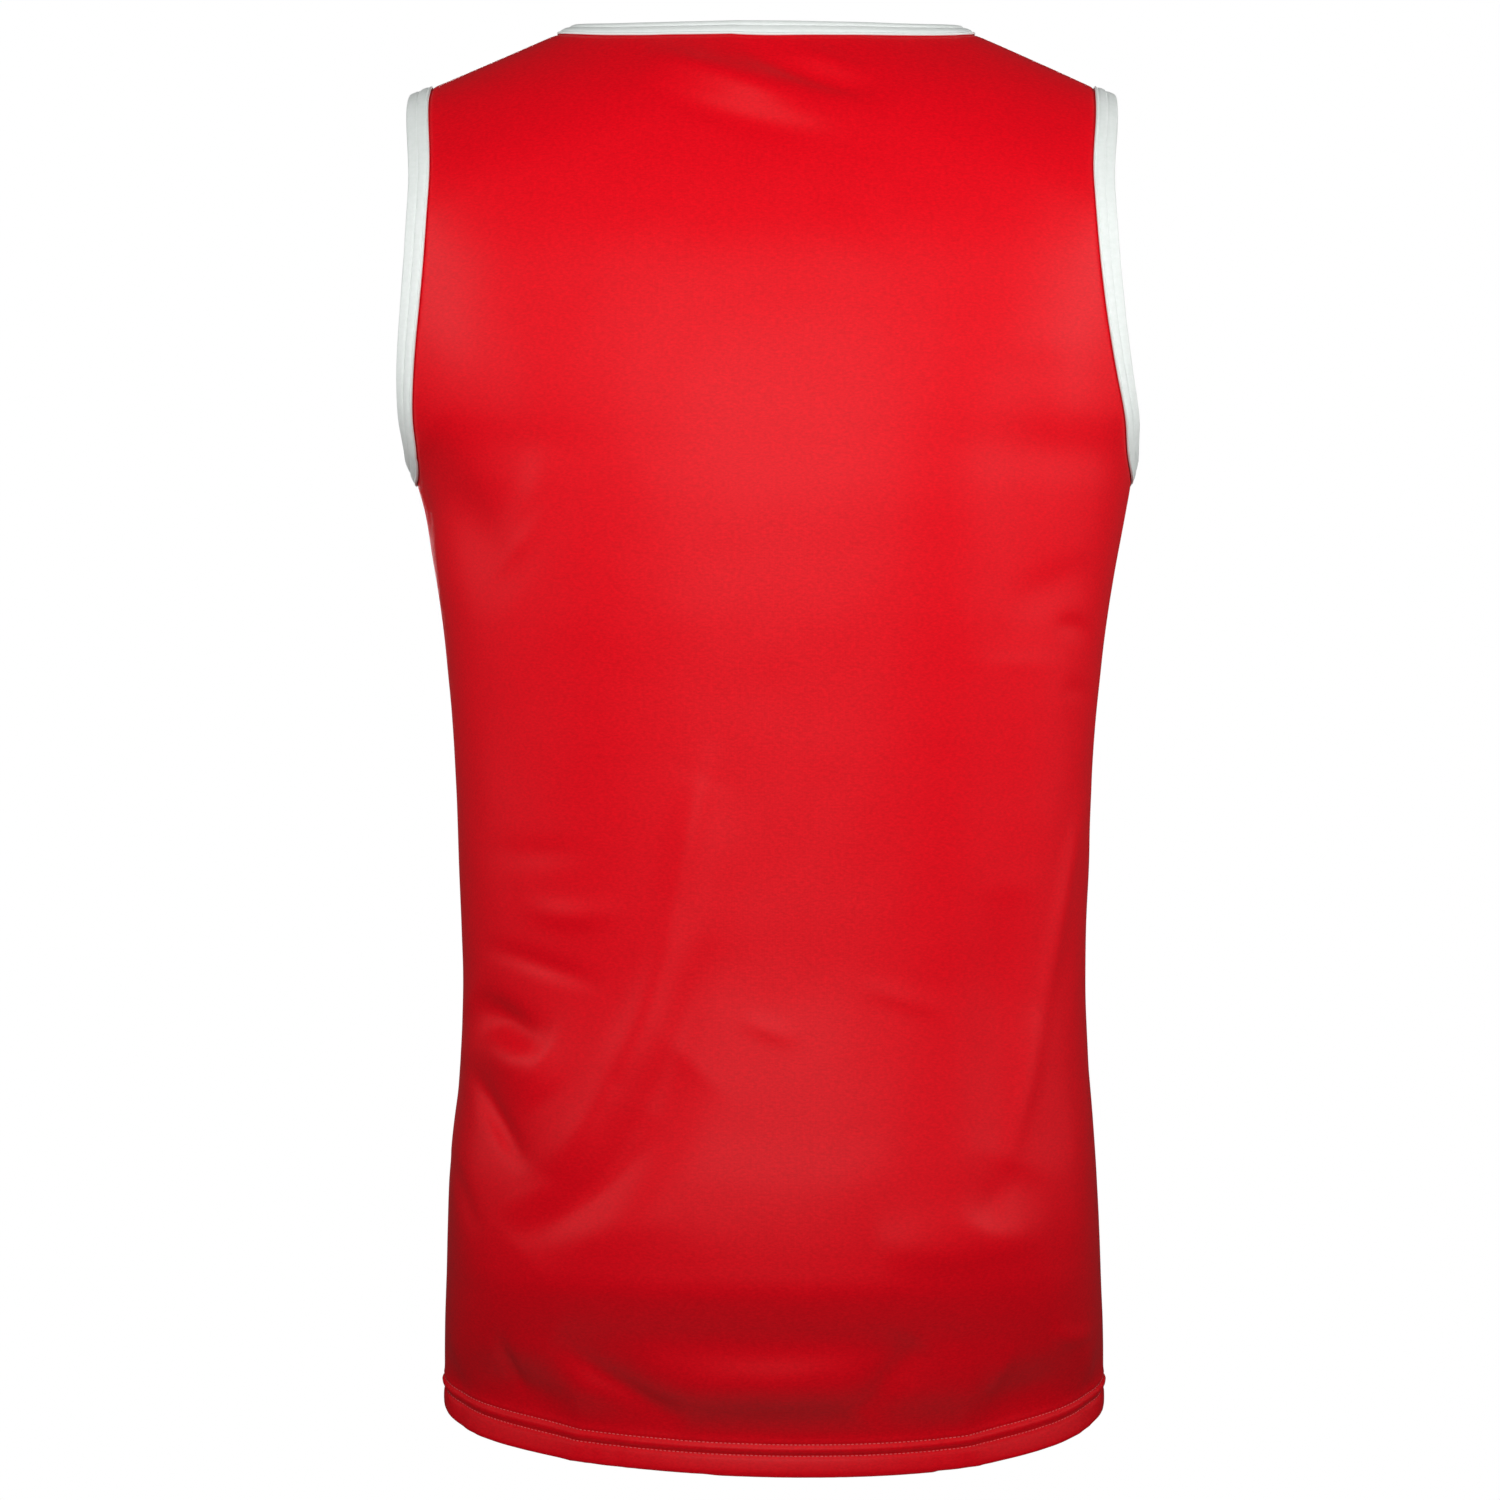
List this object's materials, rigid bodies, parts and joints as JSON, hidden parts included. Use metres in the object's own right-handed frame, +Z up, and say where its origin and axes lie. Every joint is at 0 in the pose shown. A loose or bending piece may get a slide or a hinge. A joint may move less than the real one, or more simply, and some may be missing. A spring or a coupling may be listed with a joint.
{
  "type": "boxing singlet",
  "caption": "Sleeveless knit sports vest in its worn, hollow shape, with a scoop neck, bound neck and armholes and a turned hem.",
  "frame": {"origin": "midway between the two shoulder straps, at the height where the middle of each strap bears on the shoulder", "axes": "+Z up, -Y towards the front of the garment, +X towards the wearer's left"},
  "size_m": [0.3641, 0.244, 0.7088],
  "materials": {
    "red_knit": "satin polyester knit",
    "white_binding": "matte knit binding"
  },
  "bodies": {
    "root": {"back": "red_knit", "front": "red_knit", "neck_binding": "white_binding", "armhole_binding_left": "white_binding", "armhole_binding_right": "white_binding"}
  },
  "joints": []
}
